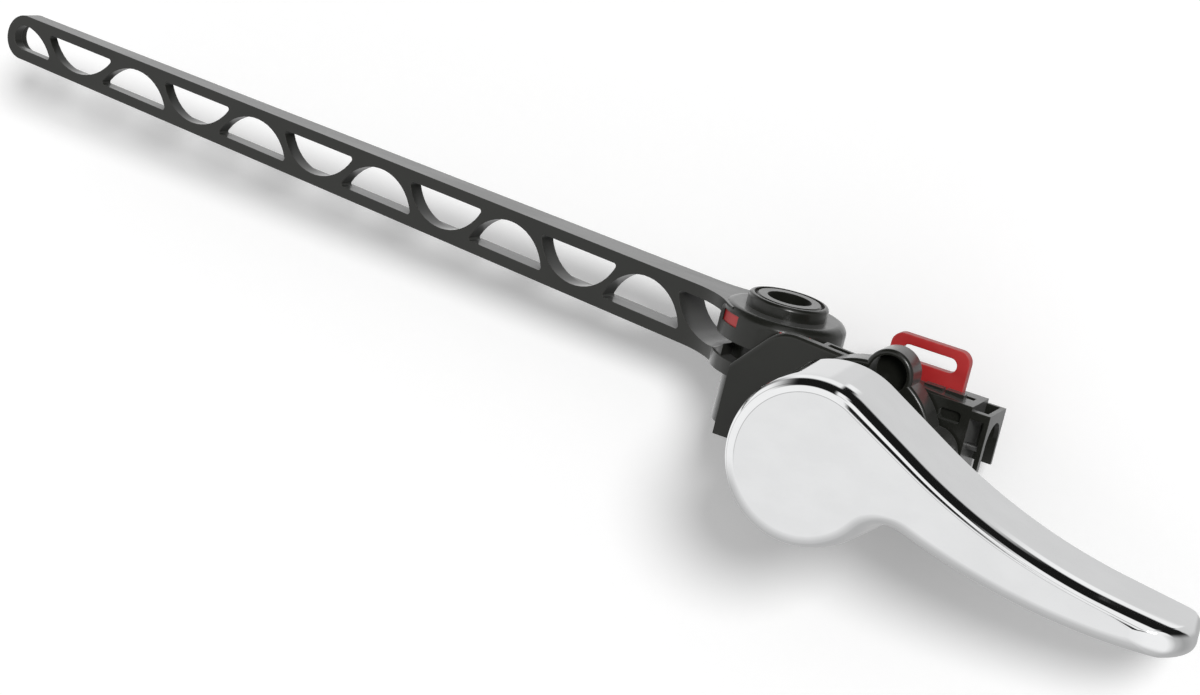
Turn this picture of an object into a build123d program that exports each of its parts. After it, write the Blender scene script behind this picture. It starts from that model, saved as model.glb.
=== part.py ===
import os
from math import acos, atan2, cos, degrees, pi, radians, sin, tan

from build123d import *

os.makedirs("parts", exist_ok=True)

# Frame in mm: X along the rocker bar, Y into the tank, Z up, origin on the spindle axis
# at the outer face of the tank wall.

# Tank wall that the lever is clamped to
wall_thickness = 10.5
gasket_thickness = 2.0
flange_thickness = 3.0

# Handle
handle_depth = 18.5
handle_gap = 1.0
hub_radius = 17.3
handle_draft = 2.4
handle_wall = 2.2
handle_front_wall = 3.0
hub_round = 3.15
tail_round = 1.75
low_round = 1.2
round_depth = 2.4
round_steps = 5
tail_slope = 28.5
tail_straight = 15.0
tail_bend_radius = 118.0
tail_end_slope = 8.0
tail_low_slope = 4.0
tail_flat = 13.2
tail_slot = 1.5
neck_angle = 16.9
neck_fillet = 7.0
boss_radius = 7.5

# Spindle and the bushing that it turns in
spindle_square = 7.0
journal_radius = 5.1
journal_clearance = 0.05
collar_radius = 7.5
collar_thickness = 1.6
socket_depth = 8.0
groove_depth = 0.9
shank_radius = 7.6
square_collar = 15.4
square_collar_length = 4.0
flange_radius = 13.2
gasket_radius = 14.2
gasket_hole_radius = 11.2

# Tank nut
nut_thickness = 6.0
nut_radius = 15.6
lobe_ring = 14.5
lobe_radius = 5.0
lobe_wall = 1.1
lobe_depth = 4.6
lobe_turn = 76.5
lobe_spread = 72.0

# Rocker bar
bar_gap = 0.8
bar_width = 10.5
bar_top = 11.6
bar_bottom = -8.0
bar_right = 23.6
block_right = 19.7
bar_step = 14.0
block_bottom = -4.0
end_bottom = -0.8
shield_left = -30.4
shield_side = 4.2
shield_break = -22.0
shield_top = 14.1
shield_corner = 7.4
shield_depth = 2.4
shelf_left = -13.4
wall_right = 17.0
lug_radius = 9.6
lug_top = 0.5
lug_bottom = -10.4
pivot_x = -26.5
pivot_y = 32.9
post_radius = 6.8
post_bore = 4.6
post_top = 16.9
post_groove_depth = 0.9
hub_sweep_radius = 13.4
bar_edge = 0.8
socket_floor = 1.5
slot_left = -12.4
slot_right = -6.0
slot_front = 2.1
slot_width = 2.0
slot_depth = 3.0
core_depth = 6.5
core_height = 15.0
core_middle = 2.0
pad_width = 2.0
pad_rise = 0.9
pad_length = 3.9
pad_gap = 0.6
pad_right = 16.7
slit_length = 2.6
slit_depth = 3.0
recess_left = 13.3
recess_right = 17.8
recess_bottom = 7.4
recess_top = 9.7
recess_depth = 1.2
end_plate = 1.0
end_top = 10.8
end_rail = 1.6
end_back_rail = 0.8
arch_top = 8.6
pin_radius = 0.65
pin_height = 3.3
pin_inset = 2.7
pin_length = 2.5
pin_root = 2.4

# Lock tab
tab_left = -0.9
tab_right = 15.6
tab_height = 8.6
tab_thickness = 2.0
tab_corner = 2.4
tab_slot_inset = 2.4
tab_slot_rise = 5.2
tab_slot_height = 3.0
tab_clearance = 0.1
tab_setback = 5.0

# Lift arm
arm_swing = 12.7
arm_reach = 215.4
arm_nose = 5.5
root_bottom = 0.7
root_top = 13.9
tip_bottom = 3.1
tip_top = 13.0
root_half_width = 4.8
tip_half_width = 2.3
arm_hub_radius = 12.8
arm_hub_top = 14.2
boss_ring_radius = 8.3
root_chord = 2.5
tip_chord = 2.1
flange = 1.6
channel_start = 27.0
hole_corner = 0.6
tip_wall = 2.3
root_start = 6.0
root_lap = 0.4
arm_hub_edge = 2.0
waist_radius = 9.2
waist_bottom = 3.6
waist_top = 7.6
ring_gap = 0.5
ring_gap_depth = 0.8
tip_margin = 12.4
root_margin = 23.0
hole_rows = 6
hole_share = 5 / 9
hub_blend = 16.0
pivot_clearance = 0.05

# Arm clip
clip_thickness = 2.4
clip_bottom = 10.4
clip_bar = 1.7
clip_leg = 2.4
clip_barb = 2.8
clip_flare = 2.4
clip_setback = 0.3
clip_clearance = 0.1
clip_mouth = 2.0

# Levels along Y that follow from the sizes above
flange_back = -gasket_thickness
flange_front = flange_back - flange_thickness
collar_front = flange_front - collar_thickness
handle_back = -handle_gap
handle_front = handle_back - handle_depth
nut_front = wall_thickness
nut_back = nut_front + nut_thickness
bar_front = nut_back + bar_gap
bar_back = bar_front + bar_width
spud_back = nut_back + bar_gap / 2
spindle_back = bar_back - socket_floor
tab_front = bar_front + tab_setback
tab_back = tab_front + tab_thickness
wall_back = tab_front - tab_clearance
square_half = spindle_square / 2
tab_edge = square_half - groove_depth + tab_clearance
tab_foot = -square_half - tab_clearance

# Places of the arm's holes, shared out between its tip and its root
hole_first = arm_reach - tip_margin
hole_pitch = (hole_first - root_margin) / (hole_rows - 1)
hole_width = hole_share * hole_pitch


def front_plane(y):
    # A plane across Y whose sketch X is X, whose sketch Y is Z and which faces the front
    return Plane.XZ.offset(-y)


def level(z):
    return Plane.XY.offset(z)


# Handle: a drafted cup with a bent tail, hollow behind. Its front rounding is wide on the hub and
# narrows along the tail, so it is lofted through outlines that shrink by three different amounts.
draft = tan(radians(handle_draft))
cavity_floor = handle_front + handle_front_wall
cavity_inset = handle_wall + (handle_back - cavity_floor) * draft
tail_tip_height = cavity_inset + handle_wall + tail_slot
slope_dir = Vector(cos(radians(tail_slope)), -sin(radians(tail_slope)))
slope_normal = Vector(sin(radians(tail_slope)), cos(radians(tail_slope)))
knee = hub_radius * slope_normal + tail_straight * slope_dir
bend_span = tail_bend_radius * (sin(radians(tail_slope)) - sin(radians(tail_end_slope)))
tail_end = knee.X + bend_span + tail_flat * cos(radians(tail_end_slope))


def handle_outline(y, hub_inset, tail_inset, low_inset):
    # The hub's circle and the tail, with the hub, the top side and the lower side moved in
    hub = hub_radius - hub_inset
    bend_start = knee - tail_inset * slope_normal
    leave = atan2(bend_start.Y, bend_start.X) + acos(hub / bend_start.length)
    bend_turn = degrees(pi / 2 - leave) - tail_end_slope
    tip_radius = (tail_tip_height - tail_inset - low_inset) / 2
    neck = (hub * cos(radians(neck_angle)), -hub * sin(radians(neck_angle)))
    with BuildSketch(front_plane(y)) as outline:
        with BuildLine():
            drop = Line((hub * cos(leave), hub * sin(leave)), bend_start)
            bend = JernArc(drop @ 1, drop % 1, tail_bend_radius + tail_inset, bend_turn)
            run_length = (tail_end - (bend @ 1).X) / cos(radians(tail_end_slope))
            run = PolarLine(bend @ 1, run_length, angle=-tail_end_slope)
            tip = JernArc(run @ 1, run % 1, tip_radius, tail_end_slope + tail_low_slope - degrees(pi))
            TangentArc(tip @ 1, neck, tangent=tip % 1)
            Polyline(neck, (0, 0), drop @ 0)
        make_face()
        Circle(hub)
        fillet(outline.vertices().sort_by_distance(neck)[0], neck_fillet + hub_inset)
    return outline.sketch.face()


def front_section(step):
    # One outline of the rounding, on a quarter ellipse from the drafted wall to the flat front
    turn = pi / 2 * step / round_steps
    y = handle_front + round_depth * (1 - sin(turn))
    wall = (handle_back - y) * draft
    grow = 1 - cos(turn)
    return handle_outline(y, wall + hub_round * grow, wall + tail_round * grow, low_round * grow)


with BuildPart() as handle:
    loft([handle_outline(handle_back, 0, 0, 0), front_section(0)])
    loft([front_section(step) for step in range(round_steps + 1)])
    loft(
        [
            handle_outline(handle_back, handle_wall, handle_wall, handle_wall),
            handle_outline(cavity_floor, cavity_inset, cavity_inset, handle_wall),
        ],
        mode=Mode.SUBTRACT,
    )
    with BuildSketch(front_plane(collar_front)):
        Circle(boss_radius)
        Rectangle(spindle_square, spindle_square, mode=Mode.SUBTRACT)
    extrude(amount=collar_front - cavity_floor)
handle.part.label = "handle"
export_step(handle.part, "parts/handle.step")


# Spindle: square ends, a round journal and a collar against the flange
with BuildPart() as spindle:
    with BuildSketch(front_plane(flange_front)):
        Circle(collar_radius)
    extrude(amount=collar_thickness)
    with BuildSketch(front_plane(collar_front)):
        Rectangle(spindle_square, spindle_square)
    extrude(amount=socket_depth)
    with BuildSketch(front_plane(spud_back)):
        Circle(journal_radius)
    extrude(amount=spud_back - flange_front)
    with BuildSketch(front_plane(spindle_back)):
        Rectangle(spindle_square, spindle_square)
    extrude(amount=spindle_back - spud_back)
    chamfer(spindle.faces().sort_by(Axis.Y)[-1].edges(), groove_depth)
    with BuildSketch(front_plane(tab_back + tab_clearance)):
        with Locations((square_half, 0)):
            Rectangle(2 * groove_depth, 2 * spindle_square)
    extrude(amount=tab_thickness + 2 * tab_clearance, mode=Mode.SUBTRACT)
spindle.part.label = "spindle"
export_step(spindle.part, "parts/spindle.step")


# Spud: the bushing with a flange, a square collar for the wall's hole and a round shank
with BuildPart() as spud:
    with BuildSketch(front_plane(flange_back)):
        Circle(flange_radius)
    extrude(amount=flange_thickness)
    chamfer(spud.faces().sort_by(Axis.Y)[0].edges(), groove_depth)
    with BuildSketch(front_plane(square_collar_length)):
        RectangleRounded(square_collar, square_collar, bar_edge)
    extrude(amount=square_collar_length - flange_back)
    with BuildSketch(front_plane(spud_back)):
        Circle(shank_radius)
    extrude(amount=spud_back - square_collar_length)
    chamfer(spud.faces().sort_by(Axis.Y)[-1].edges(), groove_depth)
    with BuildSketch(front_plane(spud_back)):
        Circle(journal_radius + journal_clearance)
    extrude(amount=spud_back - flange_front, mode=Mode.SUBTRACT)
spud.part.label = "spud"
export_step(spud.part, "parts/spud.step")


# Gasket between the flange and the wall
with BuildPart() as gasket:
    with BuildSketch(front_plane(0)):
        Circle(gasket_radius)
        Circle(gasket_hole_radius, mode=Mode.SUBTRACT)
    extrude(amount=gasket_thickness)
gasket.part.label = "gasket"
export_step(gasket.part, "parts/gasket.step")


# Tank nut: a disc with hollow finger lobes
def lobes(radius):
    # Two pairs of circles on opposite sides of the nut
    for start in (lobe_turn, lobe_turn - lobe_spread):
        with PolarLocations(lobe_ring, 2, start_angle=start):
            Circle(radius)


with BuildPart() as tank_nut:
    with BuildSketch(front_plane(nut_back)):
        Circle(nut_radius)
        lobes(lobe_radius)
    extrude(amount=nut_thickness)
    fillet(tank_nut.edges().filter_by(GeomType.CIRCLE).group_by(Axis.Y)[0], bar_edge)
    with BuildSketch(front_plane(nut_front)):
        lobes(lobe_radius - lobe_wall)
    extrude(amount=-lobe_depth, mode=Mode.SUBTRACT)
    with BuildSketch(front_plane(nut_back)):
        Circle(shank_radius)
    extrude(amount=nut_thickness, mode=Mode.SUBTRACT)
tank_nut.part.label = "tank_nut"
export_step(tank_nut.part, "parts/tank_nut.step")


# Rocker bar: block with a shield wall, a lug and a hollow post for the arm
with BuildPart() as rocker_bar:
    with BuildSketch(front_plane(bar_front + shield_depth)) as shield:
        with BuildLine():
            Polyline(
                (shield_left, lug_bottom),
                (shield_left, shield_side),
                (shield_break, shield_top),
                (wall_right, bar_top),
                (pivot_x, lug_bottom),
                close=True,
            )
        make_face()
        fillet(shield.vertices().sort_by_distance((shield_break, shield_top))[0], shield_corner)
    extrude(amount=shield_depth)
    front_edges = rocker_bar.faces().sort_by(Axis.Y)[0].edges()
    fillet(front_edges.filter_by(lambda edge: edge.center().Z > shield_side), bar_edge)
    with BuildSketch(front_plane(bar_back)):
        with BuildLine():
            Polyline(
                (shield_break, bar_top - bar_edge),
                (shelf_left, bar_top - bar_edge),
                (shelf_left, bar_top),
                (block_right, bar_top),
                (block_right, block_bottom),
                (bar_step, block_bottom),
                (square_half, bar_bottom),
                (pivot_x, lug_bottom),
                (shield_left, lug_bottom),
                (shield_left, lug_top),
                (shield_break, lug_top),
                close=True,
            )
        make_face()
    extrude(amount=bar_width)
    # Shelf behind the shield, under the same sloping line
    shelf_share = (wall_right - shelf_left) / (wall_right - shield_break)
    with BuildSketch(front_plane(wall_back)):
        with BuildLine():
            Polyline(
                (shelf_left, bar_top - bar_edge),
                (shelf_left, bar_top + shelf_share * (shield_top - bar_top)),
                (wall_right, bar_top),
                (wall_right, bar_top - bar_edge),
                close=True,
            )
        make_face()
    extrude(amount=wall_back - bar_front - shield_depth)
    with BuildSketch(level(lug_bottom)):
        with Locations((pivot_x, pivot_y)):
            Circle(lug_radius)
        with BuildLine():
            Polyline(
                (pivot_x, pivot_y + lug_radius),
                (pivot_x, bar_front),
                (pivot_x + 2 * lug_radius, bar_front),
                (pivot_x + 2 * lug_radius, bar_back),
                close=True,
            )
        make_face()
    extrude(amount=lug_top - lug_bottom)
    # Two pads on the wall in front of the lock tab, right up to its face
    with BuildSketch(level(bar_top)):
        with GridLocations(pad_length + pad_gap, 0, 2, 1):
            with Locations((pad_right - pad_length - pad_gap / 2, wall_back - pad_width / 2)):
                Rectangle(pad_length, pad_width)
    extrude(amount=pad_rise)
    with BuildSketch(level(lug_top)):
        with Locations((pivot_x, pivot_y)):
            Circle(hub_sweep_radius)
    extrude(amount=shield_top - lug_top, mode=Mode.SUBTRACT)
    with BuildSketch(level(lug_top)):
        with Locations((pivot_x, pivot_y)):
            Circle(post_radius)
    extrude(amount=post_top - lug_top)
    chamfer(rocker_bar.faces().sort_by(Axis.Z)[-1].edges(), bar_edge / 2)
    with BuildSketch(level(clip_bottom - clip_clearance)):
        with Locations((pivot_x, pivot_y)):
            Circle(post_radius)
            Circle(post_radius - post_groove_depth, mode=Mode.SUBTRACT)
    extrude(amount=clip_thickness + 2 * clip_clearance, mode=Mode.SUBTRACT)
    with BuildSketch(level(lug_bottom)):
        with Locations((pivot_x, pivot_y)):
            Circle(post_bore)
    extrude(amount=post_top - lug_bottom, mode=Mode.SUBTRACT)
    # Square socket for the spindle and the slot that the lock tab slides in
    with BuildSketch(front_plane(spindle_back)):
        Rectangle(spindle_square, spindle_square)
    extrude(amount=spindle_back - bar_front, mode=Mode.SUBTRACT)
    with BuildSketch(level(bar_top)):
        with BuildLine():
            Polyline(
                (tab_edge - tab_clearance, tab_front - tab_clearance),
                (tab_right + tab_clearance, tab_front - tab_clearance),
                (tab_right + tab_clearance, tab_back + tab_clearance),
                (tab_edge - tab_clearance, tab_back + tab_clearance),
                close=True,
            )
        make_face()
    extrude(amount=tab_foot - bar_top - tab_clearance, mode=Mode.SUBTRACT)
    with BuildSketch(level(bar_top)):
        with Locations((tab_right + slit_length / 2, (tab_front + tab_back) / 2)):
            Rectangle(slit_length, tab_thickness)
    extrude(amount=-slit_depth, mode=Mode.SUBTRACT)
    # Slot in the wall's top, and the core behind it that keeps the block from sinking
    slot_middle = (slot_left + slot_right) / 2
    with BuildSketch(level(shield_top)):
        with Locations((slot_middle, bar_front + slot_front + slot_width / 2)):
            Rectangle(slot_right - slot_left, slot_width)
    extrude(amount=-slot_depth - (shield_top - bar_top), mode=Mode.SUBTRACT)
    with BuildSketch(front_plane(bar_back)):
        with Locations((slot_middle, core_middle)):
            Rectangle(slot_right - slot_left, core_height)
    extrude(amount=core_depth, mode=Mode.SUBTRACT)
    # Recess in the front, near the right end
    with BuildSketch(front_plane(bar_front)):
        with Locations(((recess_left + recess_right) / 2, (recess_bottom + recess_top) / 2)):
            RectangleRounded(recess_right - recess_left, recess_top - recess_bottom, bar_edge)
    extrude(amount=-recess_depth, mode=Mode.SUBTRACT)
    # End plate with an arch, held by a rail in front and a thin one behind
    arch_width = bar_width - end_rail - end_back_rail
    arch_middle = bar_front + end_rail + arch_width / 2
    with BuildSketch(Plane.YZ.offset(bar_right)):
        with Locations((bar_front + bar_width / 2, (end_top + end_bottom) / 2)):
            Rectangle(bar_width, end_top - end_bottom)
    extrude(amount=block_right - bar_right)
    with BuildSketch(level(end_top)):
        with Locations(((block_right + bar_right - end_plate) / 2, arch_middle)):
            Rectangle(bar_right - end_plate - block_right, arch_width)
    extrude(amount=end_bottom - end_top, mode=Mode.SUBTRACT)
    with BuildSketch(Plane.YZ.offset(bar_right)):
        with Locations((arch_middle, arch_top - arch_width / 2)):
            Circle(arch_width / 2)
        with Locations((arch_middle, (arch_top - arch_width / 2 + end_bottom) / 2)):
            Rectangle(arch_width, arch_top - arch_width / 2 - end_bottom)
    extrude(amount=-end_plate, mode=Mode.SUBTRACT)
    with BuildSketch(front_plane(bar_front)):
        with Locations(((block_right + bar_right - end_plate) / 2, (end_top - end_rail + end_bottom) / 2)):
            Rectangle(bar_right - end_plate - block_right, end_top - end_rail - end_bottom)
    extrude(amount=-end_rail, mode=Mode.SUBTRACT)
    # Hole for the end pin
    with BuildSketch(Plane.YZ.offset(block_right)):
        with Locations((bar_front + pin_inset, pin_height)):
            Circle(pin_radius)
    extrude(amount=-pin_root, mode=Mode.SUBTRACT)
rocker_bar.part.label = "rocker_bar"
export_step(rocker_bar.part, "parts/rocker_bar.step")


# End pin, a peg behind the front rail of the bar's right end
with BuildPart() as end_pin:
    with BuildSketch(Plane.YZ.offset(block_right + pin_length)):
        with Locations((bar_front + pin_inset, pin_height)):
            Circle(pin_radius)
    extrude(amount=-pin_length - pin_root)
    fillet(end_pin.faces().sort_by(Axis.X)[-1].edges(), pin_radius / 2)
end_pin.part.label = "end_pin"
export_step(end_pin.part, "parts/end_pin.step")


# Lock tab: a finger loop over a plate that sits in the spindle's groove
with BuildPart() as lock_tab:
    with BuildSketch(front_plane(tab_back)):
        tab_middle = (tab_left + tab_right) / 2
        with BuildLine():
            Polyline(
                (tab_edge, tab_foot),
                (tab_right, tab_foot),
                (tab_right, bar_top + tab_height),
                (tab_left, bar_top + tab_height),
                (tab_left, bar_top),
                (tab_edge, bar_top),
                close=True,
            )
        make_face()
        with Locations((tab_middle, bar_top + tab_slot_rise)):
            SlotOverall(tab_right - tab_left - 2 * tab_slot_inset, tab_slot_height, mode=Mode.SUBTRACT)
    extrude(amount=tab_thickness)
    fillet(lock_tab.edges().filter_by(Axis.Y).group_by(Axis.Z)[-1], tab_corner)
lock_tab.part.label = "lock_tab"
export_step(lock_tab.part, "parts/lock_tab.step")


# Lift arm: swung back about the post. In front two chords and a wave web between round-sided holes,
# behind an open channel between two flanges.
out_dir = Vector(-cos(radians(arm_swing)), sin(radians(arm_swing)), 0)
back_dir = Vector(sin(radians(arm_swing)), cos(radians(arm_swing)), 0)
arm_side = Plane(origin=(pivot_x, pivot_y, 0), x_dir=out_dir, z_dir=back_dir)
pivot_side = Plane(origin=(pivot_x, pivot_y, 0), x_dir=(1, 0, 0), z_dir=(0, -1, 0))


def arm_plan(z):
    # A level plane on the pivot: sketch X runs out along the arm and sketch Y to the front
    return Plane(origin=(pivot_x, pivot_y, z), x_dir=out_dir, z_dir=(0, 0, 1))


def arm_bottom(reach):
    return root_bottom + (tip_bottom - root_bottom) * reach / arm_reach


def arm_top(reach):
    return root_top + (tip_top - root_top) * reach / arm_reach


def chord(reach):
    return root_chord + (tip_chord - root_chord) * reach / arm_reach


def upper_hole(outer, inner):
    # Flat under the top chord, round below
    middle = (outer + inner) / 2
    flat = Line((outer, arm_top(outer) - chord(outer)), (inner, arm_top(inner) - chord(inner)))
    ThreePointArc(flat @ 1, (middle, arm_bottom(middle) + chord(middle)), flat @ 0)


def lower_hole(outer, inner):
    # Flat over the bottom chord, round above
    middle = (outer + inner) / 2
    flat = Line((outer, arm_bottom(outer) + chord(outer)), (inner, arm_bottom(inner) + chord(inner)))
    ThreePointArc(flat @ 1, (middle, arm_top(middle) - chord(middle)), flat @ 0)


def side_outline(wall):
    # The arm's side view from the channel's start to its round nose, moved in by the wall
    nose = arm_reach - arm_nose
    inset = Polyline(
        (nose, arm_top(nose) - wall),
        (channel_start, arm_top(channel_start) - wall),
        (channel_start, arm_bottom(channel_start) + wall),
        (nose, arm_bottom(nose) + wall),
    )
    ThreePointArc(inset @ 1, (arm_reach - wall, (arm_bottom(nose) + arm_top(nose)) / 2), inset @ 0)


clip_inner = post_radius - post_groove_depth + clip_clearance
clip_middle = clip_inner + clip_leg / 2
clip_span = 2 * (clip_inner + clip_leg)
clip_start = post_radius + pivot_clearance
clip_way = arm_hub_radius + clip_mouth
barb_start = clip_start + clip_setback


def clip_legs(back_end):
    # Two legs beside the post, drawn past the hub's front; one tip turns in and the other out
    for side in (1, -1):
        with Locations((side * clip_middle, (clip_way - back_end) / 2)):
            Rectangle(clip_leg, clip_way + back_end)
    with Locations((clip_inner - clip_barb / 2, (clip_way + barb_start) / 2)):
        Rectangle(clip_barb, clip_way - barb_start)
    with Locations((-clip_inner - clip_leg - clip_flare / 2, clip_way / 2)):
        Rectangle(clip_flare, clip_way)


with BuildPart() as lift_arm:
    with BuildSketch(arm_plan(0)) as arm_outline:
        with BuildLine():
            Polyline(
                (0, root_half_width),
                (arm_reach, tip_half_width),
                (arm_reach, -tip_half_width),
                (0, -root_half_width),
                close=True,
            )
        make_face()
        Circle(arm_hub_radius - root_lap)
        fillet(arm_outline.vertices().group_by(Axis.X)[0], hub_blend)
        with Locations((root_start + arm_reach / 2, 0)):
            Rectangle(arm_reach, arm_reach, mode=Mode.INTERSECT)
    extrude(amount=arm_hub_top)
    with BuildSketch(arm_side):
        with BuildLine():
            nose = arm_reach - arm_nose
            Polyline(
                (nose, arm_top(nose)),
                (0, arm_top(0)),
                (0, arm_bottom(0)),
                (nose, arm_bottom(nose)),
            )
            ThreePointArc(
                (nose, arm_bottom(nose)),
                (arm_reach, (arm_bottom(nose) + arm_top(nose)) / 2),
                (nose, arm_top(nose)),
            )
        make_face()
    extrude(amount=arm_hub_radius, both=True, mode=Mode.INTERSECT)
    with BuildSketch(arm_side):
        with BuildLine():
            side_outline(flange)
        make_face()
    extrude(amount=arm_hub_radius, mode=Mode.SUBTRACT)
    for row in range(hole_rows):
        outer = hole_first - row * hole_pitch
        with BuildSketch(arm_side) as hole:
            with BuildLine():
                upper_hole(outer, outer - hole_width)
            make_face()
            fillet(hole.vertices(), hole_corner)
        extrude(amount=arm_hub_radius, both=True, mode=Mode.SUBTRACT)
    for row in range(hole_rows - 1):
        outer = hole_first - (row + 0.5) * hole_pitch
        with BuildSketch(arm_side) as hole:
            with BuildLine():
                lower_hole(outer, outer - hole_width)
            make_face()
            fillet(hole.vertices(), hole_corner)
        extrude(amount=arm_hub_radius, both=True, mode=Mode.SUBTRACT)
    # The last hole is cut short by the nose
    with BuildSketch(arm_side) as hole:
        with BuildLine():
            outer = hole_first + hole_pitch / 2
            lower_hole(outer, outer - hole_width)
        make_face()
        with BuildLine():
            side_outline(tip_wall)
        make_face(mode=Mode.INTERSECT)
        fillet(hole.vertices().sort_by(Axis.X)[0], hole_corner)
    extrude(amount=arm_hub_radius, both=True, mode=Mode.SUBTRACT)
    # Hub with a round shoulder, a waist and a raised ring
    with BuildSketch(pivot_side) as hub_profile:
        with BuildLine():
            Polyline(
                (0, root_bottom),
                (arm_hub_radius, root_bottom),
                (arm_hub_radius, waist_bottom),
                (waist_radius, waist_bottom),
                (waist_radius, waist_top),
                (arm_hub_radius, waist_top),
                (arm_hub_radius, arm_hub_top),
                (boss_ring_radius, arm_hub_top),
                (boss_ring_radius, post_top),
                (0, post_top),
                close=True,
            )
        make_face()
        fillet(hub_profile.vertices().sort_by_distance((arm_hub_radius, arm_hub_top))[0], arm_hub_edge)
        fillet(hub_profile.vertices().sort_by_distance((boss_ring_radius, post_top))[0], bar_edge)
    revolve(axis=Axis((pivot_x, pivot_y, 0), (0, 0, 1)))
    with BuildSketch(arm_plan(root_bottom)):
        Circle(post_radius + pivot_clearance)
    extrude(amount=post_top - root_bottom, mode=Mode.SUBTRACT)
    with BuildSketch(arm_plan(post_top)):
        Circle(post_radius + ring_gap)
    extrude(amount=-ring_gap_depth, mode=Mode.SUBTRACT)
    # Way for the clip, open behind, with a window in front for each leg
    with BuildSketch(arm_plan(clip_bottom)):
        with Locations((0, -(clip_start + clip_way) / 2)):
            Rectangle(clip_span, clip_way - clip_start)
        clip_legs(clip_way)
    extrude(amount=clip_thickness, mode=Mode.SUBTRACT)
lift_arm.part.label = "lift_arm"
export_step(lift_arm.part, "parts/lift_arm.step")


# Arm clip: a fork pushed in from behind that sits in the post's groove and keeps the arm down
with BuildPart() as arm_clip:
    with BuildSketch(arm_plan(clip_bottom)):
        with Locations((0, -clip_start - clip_bar / 2)):
            Rectangle(clip_span, clip_bar)
        clip_legs(clip_start)
        Circle(arm_hub_radius - clip_setback, mode=Mode.INTERSECT)
    extrude(amount=clip_thickness)
arm_clip.part.label = "arm_clip"
export_step(arm_clip.part, "parts/arm_clip.step")
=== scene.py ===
import math

import bpy
import numpy as np
from mathutils import Matrix, Vector


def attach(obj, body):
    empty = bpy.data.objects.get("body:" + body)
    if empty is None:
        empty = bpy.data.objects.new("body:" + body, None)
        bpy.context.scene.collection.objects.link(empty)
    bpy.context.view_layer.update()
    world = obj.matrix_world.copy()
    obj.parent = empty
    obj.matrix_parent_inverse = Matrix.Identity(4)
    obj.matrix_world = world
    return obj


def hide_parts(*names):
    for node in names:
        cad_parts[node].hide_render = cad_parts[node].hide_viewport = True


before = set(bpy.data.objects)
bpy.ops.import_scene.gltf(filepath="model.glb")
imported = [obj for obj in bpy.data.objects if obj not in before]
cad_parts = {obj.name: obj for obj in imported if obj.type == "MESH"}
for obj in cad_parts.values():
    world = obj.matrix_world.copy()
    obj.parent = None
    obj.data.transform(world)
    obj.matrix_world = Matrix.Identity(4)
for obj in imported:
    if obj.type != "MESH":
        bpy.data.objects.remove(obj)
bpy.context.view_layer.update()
print("frame loaded:", ", ".join(sorted(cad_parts)))

# lengths are in metres and angles in degrees
rightAngle, halfTurn, fullTurn = 90.0, 180.0, 360.0


# small helpers for node trees

def addNode(tree, kind, **settings):
    node = tree.nodes.new(kind)
    for name, value in settings.items():
        setattr(node, name, value)
    return node


def setInputs(node, values):
    for name, value in values.items():
        node.inputs[name].default_value = value


def mathNode(tree, operation, first, second=None):
    node = addNode(tree, "ShaderNodeMath", operation=operation)
    for socket, value in zip(node.inputs, (first, second)):
        if value is None:
            continue
        if isinstance(value, (int, float)):
            socket.default_value = value
        else:
            tree.links.new(value, socket)
    return node.outputs[0]


def rangeNode(tree, value, span, result=(0.0, 1.0)):
    # a smooth step from the first result to the second as the value goes through the span
    node = addNode(tree, "ShaderNodeMapRange", interpolation_type="SMOOTHSTEP")
    setInputs(node, {"From Min": span[0], "From Max": span[1], "To Min": result[0], "To Max": result[1]})
    tree.links.new(value, node.inputs["Value"])
    return node.outputs["Result"]


def newGroup(name, inputs, outputs):
    tree = bpy.data.node_groups.new(name, "ShaderNodeTree")
    for label, value in inputs.items():
        socket = tree.interface.new_socket(name=label, in_out="INPUT", socket_type="NodeSocketFloat")
        socket.default_value = value
    for label, kind in outputs.items():
        tree.interface.new_socket(name=label, in_out="OUTPUT", socket_type=kind)
    return tree, tree.nodes.new("NodeGroupInput"), tree.nodes.new("NodeGroupOutput")


def newMaterial(name):
    material = bpy.data.materials.new(name)
    material.use_nodes = True
    return material, material.node_tree, material.node_tree.nodes["Principled BSDF"]


def mixColors(tree, share, first, second):
    mix = addNode(tree, "ShaderNodeMix", data_type="RGBA")
    tree.links.new(share, mix.inputs["Factor"])
    for label, value in (("A", first), ("B", second)):
        if isinstance(value, tuple):
            mix.inputs[label].default_value = value
        else:
            tree.links.new(value, mix.inputs[label])
    return mix.outputs["Result"]


def gray(value):
    return (value, value, value, 1.0)


# moulded skin: a fine grain for the bump, and a slow mottle for colour and gloss
skinLook = {
    "grainScale": 4000.0, "grainDetail": 3.0, "grainRoughness": 0.6,
    "mottleScale": 90.0, "mottleDetail": 4.0, "mottleRoughness": 0.55, "mottleSpan": (0.3, 0.7),
    "flowStretch": 0.35,
}


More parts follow.
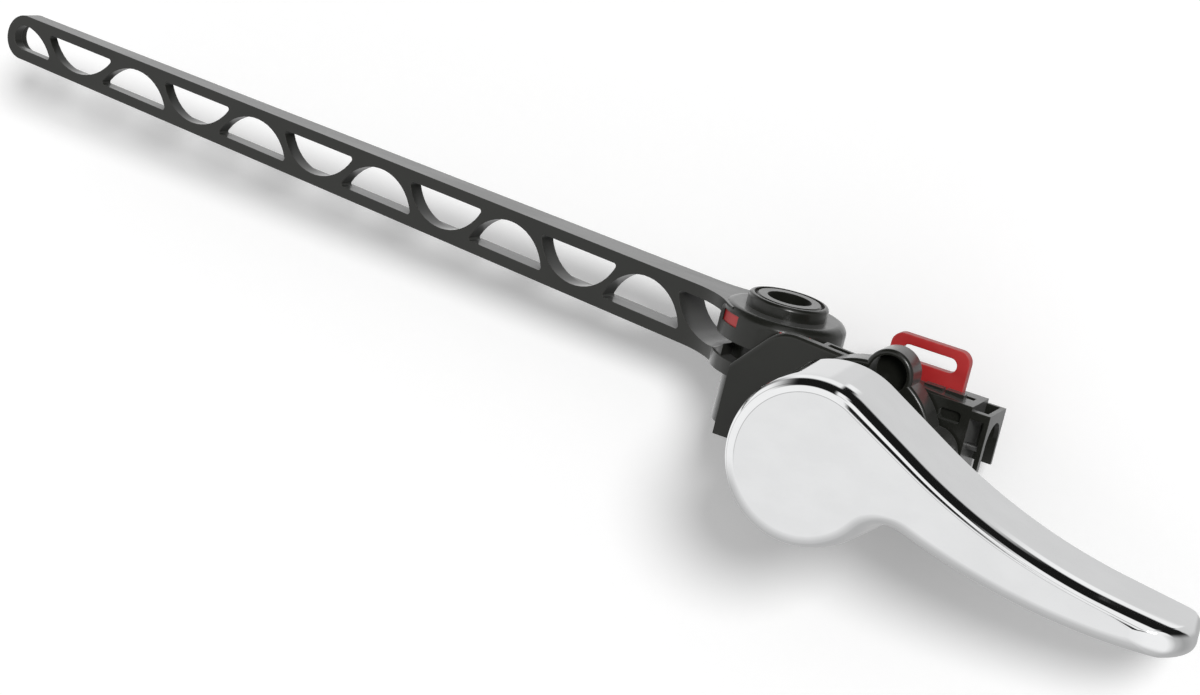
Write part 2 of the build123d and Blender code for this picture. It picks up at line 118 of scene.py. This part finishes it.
def mouldSkinGroup(k):
    tree, given, out = newGroup(
        "mouldSkin",
        {"Grain Scale": k["grainScale"], "Mottle Scale": k["mottleScale"], "Flow Stretch": k["flowStretch"]},
        {"Height": "NodeSocketFloat", "Mottle": "NodeSocketFloat"},
    )
    link = tree.links.new
    place = addNode(tree, "ShaderNodeTexCoord")
    grain = addNode(tree, "ShaderNodeTexNoise")
    setInputs(grain, {"Detail": k["grainDetail"], "Roughness": k["grainRoughness"]})
    link(place.outputs["Object"], grain.inputs["Vector"])
    link(given.outputs["Grain Scale"], grain.inputs["Scale"])
    flow = addNode(tree, "ShaderNodeCombineXYZ")
    link(given.outputs["Flow Stretch"], flow.inputs["X"])
    setInputs(flow, {"Y": 1.0, "Z": 1.0})
    drawn = addNode(tree, "ShaderNodeVectorMath", operation="MULTIPLY")
    link(place.outputs["Object"], drawn.inputs[0])
    link(flow.outputs["Vector"], drawn.inputs[1])
    mottle = addNode(tree, "ShaderNodeTexNoise")
    setInputs(mottle, {"Detail": k["mottleDetail"], "Roughness": k["mottleRoughness"]})
    link(drawn.outputs["Vector"], mottle.inputs["Vector"])
    link(given.outputs["Mottle Scale"], mottle.inputs["Scale"])
    link(grain.outputs["Fac"], out.inputs["Height"])
    link(rangeNode(tree, mottle.outputs["Fac"], k["mottleSpan"]), out.inputs["Mottle"])
    return tree


# painted edge highlight: a mask where the surface turns sharply, broken up by noise, that lightens the
# colour there, and the rounded normal itself
edgeLook = {
    "radius": 0.00025, "samples": 6, "turnSpan": (0.99, 0.8),
    "breakScale": 900.0, "breakSpan": (0.35, 0.65), "breakShare": (0.25, 1.0),
}


def edgeHighlightGroup(k):
    tree, given, out = newGroup(
        "edgeHighlight",
        {"Radius": k["radius"], "Break Scale": k["breakScale"]},
        {"Mask": "NodeSocketFloat", "Normal": "NodeSocketVector"},
    )
    link = tree.links.new
    rounded = addNode(tree, "ShaderNodeBevel", samples=k["samples"])
    link(given.outputs["Radius"], rounded.inputs["Radius"])
    plain = addNode(tree, "ShaderNodeNewGeometry")
    same = addNode(tree, "ShaderNodeVectorMath", operation="DOT_PRODUCT")
    link(rounded.outputs["Normal"], same.inputs[0])
    link(plain.outputs["Normal"], same.inputs[1])
    turned = rangeNode(tree, same.outputs["Value"], k["turnSpan"])
    place = addNode(tree, "ShaderNodeTexCoord")
    broken = addNode(tree, "ShaderNodeTexNoise")
    link(place.outputs["Object"], broken.inputs["Vector"])
    link(given.outputs["Break Scale"], broken.inputs["Scale"])
    patches = rangeNode(tree, broken.outputs["Fac"], k["breakSpan"], k["breakShare"])
    link(mathNode(tree, "MULTIPLY", turned, patches), out.inputs["Mask"])
    link(rounded.outputs["Normal"], out.inputs["Normal"])
    return tree


# painted shade in hollows: a mask that is 0 in the open and 1 deep between walls, where little of the room
# is mirrored, and it turns the moulded coat down there
hollowLook = {"reach": 0.006, "samples": 8, "openToShut": (0.75, 0.3)}


def hollowShadeGroup(k):
    tree, given, out = newGroup("hollowShade", {"Reach": k["reach"]}, {"Mask": "NodeSocketFloat"})
    shut = addNode(tree, "ShaderNodeAmbientOcclusion", samples=k["samples"])
    tree.links.new(given.outputs["Reach"], shut.inputs["Distance"])
    tree.links.new(rangeNode(tree, shut.outputs["AO"], k["openToShut"]), out.inputs["Mask"])
    return tree


mouldSkin = mouldSkinGroup(skinLook)
edgeHighlight = edgeHighlightGroup(edgeLook)
hollowShade = hollowShadeGroup(hollowLook)

# one row for each moulded finish: colours are linear, and gloss is the roughness from one end of the mottle
# to the other
mouldedFinishes = {
    "dark_plastic": {
        "deep": (0.008, 0.0085, 0.0066, 1), "pale": (0.013, 0.0136, 0.011, 1),
        "edgeHighlightColor": (0.04, 0.04, 0.034, 1), "gloss": (0.30, 0.42), "grain": 0.05, "grainScale": 3800.0,
        "edge": 0.00028, "specular": 0.1, "coat": 1.0, "coatRoughness": 0.22, "hollowCoat": 0.25,
        "sheen": 0.12,
    },
    "red_plastic": {
        "deep": (0.34, 0.017, 0.018, 1), "pale": (0.46, 0.026, 0.026, 1),
        "edgeHighlightColor": (0.62, 0.10, 0.09, 1), "gloss": (0.26, 0.36), "grain": 0.03, "grainScale": 2600.0,
        "edge": 0.0003, "specular": 0.5, "coat": 0.0, "coatRoughness": 0.2, "hollowCoat": 1.0,
        "sheen": 0.0,
    },
    "seal_rubber": {
        "deep": (0.012, 0.012, 0.012, 1), "pale": (0.024, 0.024, 0.024, 1),
        "edgeHighlightColor": (0.05, 0.05, 0.05, 1), "gloss": (0.62, 0.80), "grain": 0.12, "grainScale": 2200.0,
        "edge": 0.0002, "specular": 0.35, "coat": 0.0, "coatRoughness": 0.5, "hollowCoat": 1.0,
        "sheen": 0.2,
    },
}
# values that all of them share
mouldedCommon = {"sheenRoughness": 0.4, "coatIor": 1.36, "grainDepth": 0.0002}


def mouldedMaterial(name, finish, common):
    material, tree, surface = newMaterial(name)
    link = tree.links.new
    setInputs(surface, {
        "Specular IOR Level": finish["specular"],
        "Coat Roughness": finish["coatRoughness"], "Coat IOR": common["coatIor"],
        "Sheen Weight": finish["sheen"], "Sheen Roughness": common["sheenRoughness"],
    })
    skin = addNode(tree, "ShaderNodeGroup", node_tree=mouldSkin)
    skin.inputs["Grain Scale"].default_value = finish["grainScale"]
    edge = addNode(tree, "ShaderNodeGroup", node_tree=edgeHighlight)
    edge.inputs["Radius"].default_value = finish["edge"]
    # painted shade: deep in hollows the coat is turned down to hollowCoat of its weight
    inside = addNode(tree, "ShaderNodeGroup", node_tree=hollowShade)
    coats = (finish["coat"], finish["coat"] * finish["hollowCoat"])
    link(rangeNode(tree, inside.outputs["Mask"], (0.0, 1.0), coats), surface.inputs["Coat Weight"])
    body = mixColors(tree, skin.outputs["Mottle"], finish["deep"], finish["pale"])
    # painted highlight: the edge mask lightens the colour along sharp edges
    link(mixColors(tree, edge.outputs["Mask"], body, finish["edgeHighlightColor"]), surface.inputs["Base Color"])
    link(rangeNode(tree, skin.outputs["Mottle"], (0.0, 1.0), finish["gloss"]), surface.inputs["Roughness"])
    bump = addNode(tree, "ShaderNodeBump")
    setInputs(bump, {"Strength": finish["grain"], "Distance": common["grainDepth"]})
    link(skin.outputs["Height"], bump.inputs["Height"])
    link(edge.outputs["Normal"], bump.inputs["Normal"])
    link(bump.outputs["Normal"], surface.inputs["Normal"])
    return material


# the handle's plating: bright, with a slight orange peel and faint cloudy wipe marks
platedLook = {
    "bright": (0.86, 0.865, 0.87, 1), "clouded": (0.83, 0.835, 0.84, 1), "gloss": (0.03, 0.07),
    "peel": 0.012, "peelScale": 900.0, "peelDepth": 0.0002, "cloudScale": 160.0, "cloudStretch": 0.6,
}


def platedMaterial(k):
    material, tree, surface = newMaterial("platedChrome")
    link = tree.links.new
    surface.inputs["Metallic"].default_value = 1.0
    skin = addNode(tree, "ShaderNodeGroup", node_tree=mouldSkin)
    setInputs(skin, {
        "Grain Scale": k["peelScale"], "Mottle Scale": k["cloudScale"], "Flow Stretch": k["cloudStretch"],
    })
    clouds = skin.outputs["Mottle"]
    link(mixColors(tree, clouds, k["bright"], k["clouded"]), surface.inputs["Base Color"])
    link(rangeNode(tree, clouds, (0.0, 1.0), k["gloss"]), surface.inputs["Roughness"])
    bump = addNode(tree, "ShaderNodeBump")
    setInputs(bump, {"Strength": k["peel"], "Distance": k["peelDepth"]})
    link(skin.outputs["Height"], bump.inputs["Height"])
    link(bump.outputs["Normal"], surface.inputs["Normal"])
    return material


# the small pin: blackened steel with fine wavering bands across X
pinLook = {
    "dark": (0.10, 0.10, 0.10, 1), "light": (0.17, 0.17, 0.165, 1), "gloss": (0.38, 0.52),
    "bandScale": 2600.0, "waver": 1.5, "detail": 2.0,
}


def pinMaterial(k):
    material, tree, surface = newMaterial("pinSteel")
    link = tree.links.new
    surface.inputs["Metallic"].default_value = 1.0
    place = addNode(tree, "ShaderNodeTexCoord")
    lines = addNode(tree, "ShaderNodeTexWave", bands_direction="X")
    setInputs(lines, {"Scale": k["bandScale"], "Distortion": k["waver"], "Detail": k["detail"]})
    link(place.outputs["Object"], lines.inputs["Vector"])
    link(mixColors(tree, lines.outputs["Fac"], k["dark"], k["light"]), surface.inputs["Base Color"])
    link(rangeNode(tree, lines.outputs["Fac"], (0.0, 1.0), k["gloss"]), surface.inputs["Roughness"])
    return material


finishes = {slot: mouldedMaterial(slot, look, mouldedCommon) for slot, look in mouldedFinishes.items()}
finishes["plated_plastic"] = platedMaterial(platedLook)
finishes["pin_steel"] = pinMaterial(pinLook)

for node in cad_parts.values():
    for place in node.material_slots:
        place.material = finishes[place.material.name.split(".")[0]]
print("finishes set:", ", ".join(sorted(finishes)))


# surfaces from grids

def gridFaces(rows, columns, closedAcross, closedAlong):
    # one row per step along and one column per step across; every four neighbours make a face
    row = np.arange(rows if closedAlong else rows - 1)
    column = np.arange(columns if closedAcross else columns - 1)
    r, c = np.meshgrid(row, column, indexing="ij")
    up, over = (r + 1) % rows, (c + 1) % columns
    faces = np.stack([r * columns + c, r * columns + over, up * columns + over, up * columns + c], axis=-1)
    return faces.reshape(-1, 4)


def meshPiece(name, points, faces, sharpAngle=halfTurn):
    mesh = bpy.data.meshes.new(name)
    mesh.from_pydata(points.reshape(-1, 3).tolist(), [], faces)
    mesh.shade_smooth()
    mesh.set_sharp_from_angle(angle=math.radians(sharpAngle))
    piece = bpy.data.objects.new(name, mesh)
    bpy.context.scene.collection.objects.link(piece)
    return piece


# the handle, in place of the CAD handle, whose front rounding is twisted on the outer tail: the outline seen
# from the front is walked once round, and each row of the surface is that outline moved in at some depth
handleForm = {
    "hub": 0.0173, "back": -0.001, "front": -0.0195, "draft": 2.4, "wall": 0.0022, "frontWall": 0.003,
    "slope": 28.5, "straight": 0.015, "bend": 0.118, "endSlope": 8.0, "lowSlope": 4.0, "flat": 0.0132,
    "tipHeight": 0.00655, "neckAngle": 16.9, "neckFillet": 0.007,
    "round": 0.0017, "lowRound": 0.0026, "topDepth": 0.0053, "lowDepth": 0.0026,
    "ring": 0.00145, "ringTilt": 24.0, "ringFade": 0.85, "ringLeast": 0.00008,
    "tipLean": 0.002, "tipTurn": 0.009, "tipReach": 0.019,
    "rim": 0.00025, "step": 0.0006, "fineStep": 0.00025, "leastArcSteps": 8, "leastLineSteps": 4,
    "wallRows": 4, "outerRows": 12, "roundRows": 18, "ringRows": 5, "sharpAngle": 35.0,
    "boss": 0.0075, "bossEnd": -0.0065, "square": 0.007, "bossSteps": 64,
}


def evenShares(length, step, leastSteps):
    # shares of a stretch from 0 up to, but without, 1, which starts the next stretch
    return np.linspace(0, 1, max(int(length / step), leastSteps) + 1)[:-1]


def arcStretch(h, centre, radius, start, end, outward, step):
    # centre + radius * (cos, sin) of each turn; the normal is the ray, or its opposite inside a hollow
    shares = evenShares(math.radians(abs(end - start)) * radius, step, h["leastArcSteps"])
    turn = np.radians(start + (end - start) * shares)
    ray = np.stack([np.cos(turn), np.sin(turn)], axis=-1)
    return centre + radius * ray, outward * ray


def lineStretch(h, first, last, normal, step):
    # first + (last - first) * share
    shares = evenShares(np.linalg.norm(last - first), step, h["leastLineSteps"])[:, None]
    return first + (last - first) * shares, np.tile(normal, (len(shares), 1))


def fromAngle(degrees):
    return np.array([math.cos(math.radians(degrees)), math.sin(math.radians(degrees))])


def angleOf(ray):
    return math.degrees(math.atan2(ray[1], ray[0]))


def handleOutline(h):
    # down the tail's straight and bent top, round the tip, back along the low side, the neck and the hub
    topAngle, runAngle = rightAngle - h["slope"], rightAngle - h["endSlope"]
    lowAngle = h["lowSlope"] - rightAngle
    topNormal, runNormal, lowNormal = fromAngle(topAngle), fromAngle(runAngle), fromAngle(lowAngle)
    leave = h["hub"] * topNormal
    knee = leave + h["straight"] * fromAngle(-h["slope"])
    bendCentre = knee + h["bend"] * topNormal
    runStart = bendCentre - h["bend"] * runNormal
    runEnd = runStart + h["flat"] * fromAngle(-h["endSlope"])
    tipRadius = h["tipHeight"] / 2
    tipCentre = runEnd - tipRadius * runNormal
    lowStart = tipCentre + tipRadius * lowNormal
    chord = h["hub"] * fromAngle(-h["neckAngle"]) - lowStart
    lowRadius = chord @ chord / (-2 * chord @ lowNormal)
    lowCentre = lowStart - lowRadius * lowNormal
    # the neck's circle touches the hub and the low side from outside
    span = np.linalg.norm(lowCentre)
    toHub, toLow = h["hub"] + h["neckFillet"], lowRadius + h["neckFillet"]
    along = (span ** 2 + toHub ** 2 - toLow ** 2) / (2 * span)
    ray = lowCentre / span
    aside = np.array([ray[1], -ray[0]])
    neckCentre = along * ray + math.sqrt(toHub ** 2 - along ** 2) * aside * np.sign(aside[0])
    lowEnd, hubStart = angleOf(neckCentre - lowCentre), angleOf(neckCentre)
    neckStart, neckEnd = angleOf(lowCentre - neckCentre), angleOf(-neckCentre)
    return [
        lineStretch(h, leave, knee, topNormal, h["step"]),
        arcStretch(h, bendCentre, h["bend"], topAngle - halfTurn, runAngle - halfTurn, -1, h["step"]),
        lineStretch(h, runStart, runEnd, runNormal, h["step"]),
        arcStretch(h, tipCentre, tipRadius, runAngle, lowAngle, 1, h["fineStep"]),
        arcStretch(h, lowCentre, lowRadius, lowAngle, lowEnd, 1, h["step"]),
        arcStretch(h, neckCentre, h["neckFillet"], neckStart, neckEnd, -1, h["fineStep"]),
        arcStretch(h, np.zeros(2), h["hub"], hubStart, topAngle - fullTurn, 1, h["step"]),
    ]


def smooth(share):
    # share squared * (3 - 2 * share)
    return share * share * (3 - 2 * share)


def handleSurface(h):
    stretches = handleOutline(h)
    straight, bend, run, tip, low, neck, hub = (len(points) for points, normals in stretches)
    points = np.concatenate([points for points, normals in stretches])
    normals = np.concatenate([normals for points, normals in stretches])
    # how far out along the tail, and how much on its low side, each point of the outline is
    top = straight + bend + run
    outward = np.concatenate([np.linspace(0, 1, top), np.ones(tip + low), np.zeros(neck + hub)])
    lower = np.concatenate([
        np.zeros(top), smooth(np.linspace(0, 1, tip)), np.ones(low), smooth(np.linspace(1, 0, neck)),
        np.zeros(hub),
    ])
    upper = 1 - lower
    depth = h["topDepth"] * upper + h["lowDepth"] * lower
    inward = h["round"] * upper + h["lowRound"] * lower
    ring = np.maximum(h["ring"] * (1 - outward) * upper, h["ringLeast"])
    ringSlope = np.tan(np.radians(h["ringTilt"] * upper * (1 - h["ringFade"] * outward)))
    drop = ring * ringSlope / 2
    roundEnd = np.arctan2(depth, inward * ringSlope)
    draft = math.tan(math.radians(h["draft"])) * upper
    floor, rimStart = h["front"] + h["frontWall"], h["back"] - h["rim"]
    full = np.ones(len(points))
    rows = []
    # hollow side: inset = wall + draft * distance from the back
    for y in np.linspace(floor, rimStart, h["wallRows"]):
        rows.append((h["wall"] + draft * (h["back"] - y), y * full))
    rows.append(((h["wall"] - h["rim"]) * full, h["back"] * full))
    rows.append((h["rim"] * full, h["back"] * full))
    # outer wall: inset = draft * distance from the back, down to where the rounding starts
    start = h["front"] + drop + depth * np.sin(roundEnd)
    for share in np.linspace(0, 1, h["outerRows"], endpoint=False):
        y = rimStart + (start - rimStart) * share
        rows.append((draft * (h["back"] - y), y))
    # rounding: inset = draft part + inward * (1 - cos), depth = part of an ellipse from the wall to the ring
    for share in np.linspace(0, 1, h["roundRows"]):
        turn = roundEnd * share
        y = h["front"] + drop + depth * (np.sin(roundEnd) - np.sin(turn))
        rows.append((draft * (h["back"] - y) + inward * (1 - np.cos(turn)), y))
    # ring: a shallow parabola that flattens out into the front
    inset = rows[-1][0]
    for share in np.linspace(0, 1, h["ringRows"] + 1)[1:]:
        rows.append((inset + ring * share, h["front"] + drop * (1 - share) ** 2))
    rows.append((inset + ring + h["rim"], h["front"] * full))
    insets, depths = (np.array([row[k] for row in rows]) for k in (0, 1))
    flat = points[None] - normals[None] * insets[..., None]
    # seen from above the tip leans out towards the front, then turns in along a circle: X moves by
    # (lean * share of the depth - the circle's step back) * closeness to the tip squared
    x, z = flat[..., 0], flat[..., 1]
    nearTip = np.clip(1 + (x - x.max(axis=1, keepdims=True)) / h["tipReach"], 0, 1) ** 2
    forward = np.clip((h["back"] - depths) / (h["back"] - h["front"] - h["tipTurn"]), 0, 1)
    toTurn = 1 - np.clip((depths - h["front"]) / h["tipTurn"], 0, 1)
    stepBack = h["tipTurn"] * (1 - np.sqrt(1 - toTurn ** 2))
    return np.stack([x + (h["tipLean"] * forward - stepBack) * nearTip, depths, z], axis=-1)


def bossSurface(h):
    # rows: round foot, round end, square end, square foot; the square is each ray cut at the flat sides
    turn = np.linspace(0, 2 * math.pi, h["bossSteps"], endpoint=False) + math.pi / h["bossSteps"]
    ray = np.stack([np.cos(turn), np.sin(turn)], axis=-1)
    circle = h["boss"] * ray
    square = ray * (h["square"] / 2 / np.abs(ray).max(axis=1))[:, None]
    foot, end = h["front"] + h["frontWall"], h["bossEnd"]
    rows = [(circle, foot), (circle, end), (square, end), (square, foot)]
    return np.array([np.stack([flat[:, 0], np.full(len(flat), y), flat[:, 1]], axis=-1) for flat, y in rows])


def makeHandle(h):
    # the shell's first row is closed by the hollow's floor and its last row by the front
    shell, boss = handleSurface(h), bossSurface(h)
    rows, columns = shell.shape[:2]
    faces = gridFaces(rows, columns, True, False)[:, ::-1].tolist()
    faces.append(list(range(columns)))
    faces.append(list(range((rows - 1) * columns, rows * columns))[::-1])
    bossFaces = gridFaces(boss.shape[0], boss.shape[1], True, True)[:, ::-1] + rows * columns
    points = np.concatenate([shell.reshape(-1, 3), boss.reshape(-1, 3)])
    return meshPiece("handle_shell", points, faces + bossFaces.tolist(), h["sharpAngle"])


handle = makeHandle(handleForm)
handle.data.materials.append(finishes["plated_plastic"])
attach(handle, "lever")
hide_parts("handle")
print("handle made:", len(handle.data.polygons), "faces")


# thread on the bushing's shank, which the CAD leaves plain
shankThread = {
    "root": 0.00745, "crest": 0.0079, "pitch": 0.0018, "start": 0.0046, "end": 0.0103,
    "flat": 0.25, "foot": 0.9, "stepsPerTurn": 96, "fade": 0.6, "least": 0.05,
}


def makeShankThread(t):
    # radius = root + crest height * trapezoid across the pitch; the ridge climbs one pitch along Y each turn
    # and its height fades away over the first and last part turn
    turns = (t["end"] - t["start"] - t["pitch"]) / t["pitch"]
    angle = np.linspace(0, turns * 2 * math.pi, int(turns * t["stepsPerTurn"]) + 1)
    across = np.array([-1, -t["flat"], t["flat"], 1]) / 2
    height = np.array([0.0, 1.0, 1.0, 0.0])
    along = angle / (2 * math.pi)
    fade = np.clip(np.minimum(along, turns - along) / t["fade"], t["least"], 1)
    radius = t["root"] + (t["crest"] - t["root"]) * fade[:, None] * height[None, :]
    y = t["start"] + t["pitch"] * (1 / 2 + along[:, None] + across[None, :] * t["foot"])
    points = np.stack([radius * np.cos(angle)[:, None], y, radius * np.sin(angle)[:, None]], axis=-1)
    faces = gridFaces(len(angle), len(across), True, False).tolist()
    end = np.arange(len(across))
    faces += [end[::-1].tolist(), (end + (len(angle) - 1) * len(across)).tolist()]
    return meshPiece("shank_thread", points, faces)


thread = makeShankThread(shankThread)
thread.data.materials.append(finishes["dark_plastic"])
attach(thread, "mounting")
print("thread made:", len(thread.data.polygons), "faces")


# stage: a pale backdrop that leans behind the object and takes its shadow
backdrop = {
    "normal": (-0.258, -0.901, 0.349), "behind": 0.040, "halfSize": 1.6, "steps": 5,
    "paper": (gray(0.93), gray(0.96)), "fibreScale": 700.0, "fibreDetail": 2.0, "lift": 0.12,
}


def backdropMaterial(b):
    # seen from behind, the paper is clear
    material, tree, surface = newMaterial("backdropPaper")
    link = tree.links.new
    tree.nodes.remove(surface)
    paper = addNode(tree, "ShaderNodeBsdfDiffuse")
    fibre = addNode(tree, "ShaderNodeTexNoise")
    place = addNode(tree, "ShaderNodeTexCoord")
    link(place.outputs["Object"], fibre.inputs["Vector"])
    setInputs(fibre, {"Scale": b["fibreScale"], "Detail": b["fibreDetail"]})
    link(mixColors(tree, fibre.outputs["Fac"], *b["paper"]), paper.inputs["Color"])
    lift = addNode(tree, "ShaderNodeEmission")
    lift.inputs["Strength"].default_value = b["lift"]
    both = addNode(tree, "ShaderNodeAddShader")
    link(paper.outputs["BSDF"], both.inputs[0])
    link(lift.outputs["Emission"], both.inputs[1])
    clear = addNode(tree, "ShaderNodeBsdfTransparent")
    side = addNode(tree, "ShaderNodeNewGeometry")
    chosen = addNode(tree, "ShaderNodeMixShader")
    link(side.outputs["Backfacing"], chosen.inputs["Fac"])
    link(both.outputs["Shader"], chosen.inputs[1])
    link(clear.outputs["BSDF"], chosen.inputs[2])
    link(chosen.outputs["Shader"], tree.nodes["Material Output"].inputs["Surface"])
    return material


def makeBackdrop(b):
    # a flat square: u * side + v * rise - normal * behind, with u and v from -halfSize to halfSize
    normal = np.array(b["normal"]) / np.linalg.norm(b["normal"])
    side = np.cross((0, 0, 1), normal)
    side /= np.linalg.norm(side)
    rise = np.cross(normal, side)
    reach = np.linspace(-b["halfSize"], b["halfSize"], b["steps"])
    u, v = np.meshgrid(reach, reach)
    points = -normal * b["behind"] + u[..., None] * side + v[..., None] * rise
    piece = meshPiece("backdrop", points, gridFaces(b["steps"], b["steps"], False, False).tolist())
    piece.data.materials.append(backdropMaterial(b))
    for ray in ("visible_diffuse", "visible_glossy", "visible_transmission", "visible_shadow"):
        setattr(piece, ray, False)


makeBackdrop(backdrop)


# light: one broad lamp from the upper right, and a studio all round; the mirrored room is split by the side
# and the tilt of a mirroring face, and each pair says where a split starts and where it is complete
studio = {
    "keyFrom": (0.396, -0.802, 0.446), "keyStrength": 2.1, "keyWidth": 15.0, "fill": 0.44,
    "line": (-0.235, 0.9355, -0.264), "front": 0.9, "rimLine": 0.55, "arms": 0.84,
    "outerSide": (22.0, 15.0), "hubSide": (11.0, 7.5), "endSide": (40.0, 60.0), "leftSide": (-20.0, -45.0),
    "underSide": (100.0, 125.0), "rimTilt": (6.5, 5.0), "rimRight": (45.0, 35.0), "rimLeft": (-110.0, -90.0),
    "frontTilt": (4.2, 3.4), "armsTilt": (76.0, 84.0), "armsRight": (-1.0, -6.0), "armsLeft": (-80.0, -60.0),
}
# bands that bright metal mirrors: each list runs from the front round to the back, in degrees of tilt
bands = {
    "tail": [(0, 0.98), (9, 0.98), (11, 0.01), (20, 0.01), (22, 1.0), (47, 1.0), (49, 0.01), (75, 0.01),
             (77, 0.72), (180, 0.72)],
    "outer": [(0, 0.98), (29, 0.98), (31, 0.4), (33, 0.4), (35, 1.0), (57, 1.0), (59, 0.01), (79, 0.01),
              (80.5, 1.0), (86, 1.0), (87, 0.72), (180, 0.72)],
    "hub": [(0, 1.0), (24, 1.0), (27, 0.01), (70, 0.01), (73, 1.0), (79, 1.0), (81, 0.74), (180, 0.74)],
    "left": [(0, 1.0), (40, 1.0), (44, 0.6), (47, 0.6), (51, 1.0), (68, 1.0), (73, 0.2), (76, 0.2),
             (80, 1.0), (180, 1.0)],
    "under": [(0, 0.88), (6, 0.82), (20, 0.62), (45, 0.5), (180, 0.42)],
    "end": [(0, 0.9), (16, 1.0), (34, 1.0), (46, 0.55), (62, 0.4), (78, 0.5), (180, 0.4)],
}


def bandColor(tree, share, stops):
    ramp = addNode(tree, "ShaderNodeValToRGB")
    tree.links.new(share, ramp.inputs["Fac"])
    marks = ramp.color_ramp.elements
    for mark, (degrees, value) in zip(marks, (stops[0], stops[-1])):
        mark.position, mark.color = degrees / halfTurn, gray(value)
    for degrees, value in stops[1:-1]:
        marks.new(degrees / halfTurn).color = gray(value)
    return ramp.outputs["Color"]


def mirroredRoom(tree, s):
    # each direction of the room is told by the tilt and the side of the face that mirrors it along one line
    place = addNode(tree, "ShaderNodeTexCoord")
    half = addNode(tree, "ShaderNodeVectorMath", operation="SUBTRACT")
    tree.links.new(place.outputs["Generated"], half.inputs[0])
    half.inputs[1].default_value = s["line"]
    parts = addNode(tree, "ShaderNodeSeparateXYZ")
    tree.links.new(half.outputs["Vector"], parts.inputs["Vector"])
    x, y, z = (parts.outputs[axis] for axis in "XYZ")

    def product(first, second):
        return mathNode(tree, "MULTIPLY", first, second)

    def angle(first, second):
        return product(mathNode(tree, "ARCTAN2", first, second), math.degrees(1))

    across = mathNode(tree, "SQRT", mathNode(tree, "ADD", product(x, x), product(z, z)))
    side, tilt = angle(x, z), angle(across, product(y, -1.0))
    share = mathNode(tree, "DIVIDE", tilt, halfTurn)
    room = bandColor(tree, share, bands["tail"])
    for value, name in ((side, "outer"), (side, "hub"), (side, "end"), (side, "left"),
                        (mathNode(tree, "ABSOLUTE", side), "under")):
        split = rangeNode(tree, value, s[name + "Side"])
        room = mixColors(tree, split, room, bandColor(tree, share, bands[name]))
    rimLine = product(rangeNode(tree, tilt, s["rimTilt"]), rangeNode(tree, side, s["rimRight"]))
    rimLine = product(rimLine, rangeNode(tree, side, s["rimLeft"]))
    room = mixColors(tree, rimLine, room, gray(s["rimLine"]))
    room = mixColors(tree, rangeNode(tree, tilt, s["frontTilt"]), room, gray(s["front"]))
    overSide = product(rangeNode(tree, side, s["armsRight"]), rangeNode(tree, side, s["armsLeft"]))
    over = product(rangeNode(tree, tilt, s["armsTilt"]), overSide)
    return mixColors(tree, over, room, gray(s["arms"]))


def makeLight(s):
    lamp = bpy.data.lights.new("keyLamp", "SUN")
    lamp.energy = s["keyStrength"]
    lamp.angle = math.radians(s["keyWidth"])
    key = bpy.data.objects.new("keyLamp", lamp)
    key.rotation_mode = "QUATERNION"
    key.rotation_quaternion = (-Vector(s["keyFrom"])).to_track_quat("-Z", "Y")
    bpy.context.scene.collection.objects.link(key)
    world = bpy.data.worlds.new("studio")
    bpy.context.scene.world = world
    world.use_nodes = True
    tree = world.node_tree
    link = tree.links.new
    tree.nodes.remove(tree.nodes["Background"])
    path = addNode(tree, "ShaderNodeLightPath")
    # bright faces mirror the room, other light is an even fill, and the camera itself sees white
    shiny = addNode(tree, "ShaderNodeBackground")
    link(mirroredRoom(tree, s), shiny.inputs["Color"])
    soft = addNode(tree, "ShaderNodeBackground")
    soft.inputs["Color"].default_value = gray(s["fill"])
    seen = addNode(tree, "ShaderNodeBackground")
    seen.inputs["Color"].default_value = gray(1.0)
    mirrorOrSoft = addNode(tree, "ShaderNodeMixShader")
    link(mathNode(tree, "MAXIMUM", path.outputs["Is Glossy Ray"], path.outputs["Is Transmission Ray"]),
         mirrorOrSoft.inputs["Fac"])
    link(soft.outputs["Background"], mirrorOrSoft.inputs[1])
    link(shiny.outputs["Background"], mirrorOrSoft.inputs[2])
    whole = addNode(tree, "ShaderNodeMixShader")
    link(path.outputs["Is Camera Ray"], whole.inputs["Fac"])
    link(mirrorOrSoft.outputs["Shader"], whole.inputs[1])
    link(seen.outputs["Background"], whole.inputs[2])
    link(whole.outputs["Shader"], tree.nodes["World Output"].inputs["Surface"])


makeLight(studio)
bpy.context.scene.view_settings.view_transform = "Standard"


# camera at the photograph's viewing angle: the image is 1200 by 695
cameraPlace = {
    "eye": (0.2038, -0.7145, 0.1988), "forward": (-0.3259, 0.912, -0.2492),
    "down": (0.3046, -0.1483, -0.9409), "lens": 120.0, "sensor": 36.0, "clip": (0.01, 20.0),
}


def makeCamera(c):
    lens = bpy.data.cameras.new("photoCamera")
    lens.lens = c["lens"]
    lens.sensor_width = c["sensor"]
    lens.sensor_fit = "HORIZONTAL"
    lens.clip_start, lens.clip_end = c["clip"]
    camera = bpy.data.objects.new("photoCamera", lens)
    back = -Vector(c["forward"]).normalized()
    right = (-Vector(c["down"])).cross(back).normalized()
    turn = Matrix((right, back.cross(right), back)).transposed()
    camera.matrix_world = Matrix.Translation(c["eye"]) @ turn.to_4x4()
    bpy.context.scene.collection.objects.link(camera)
    bpy.context.scene.camera = camera


makeCamera(cameraPlace)
print("stage, light and camera set")
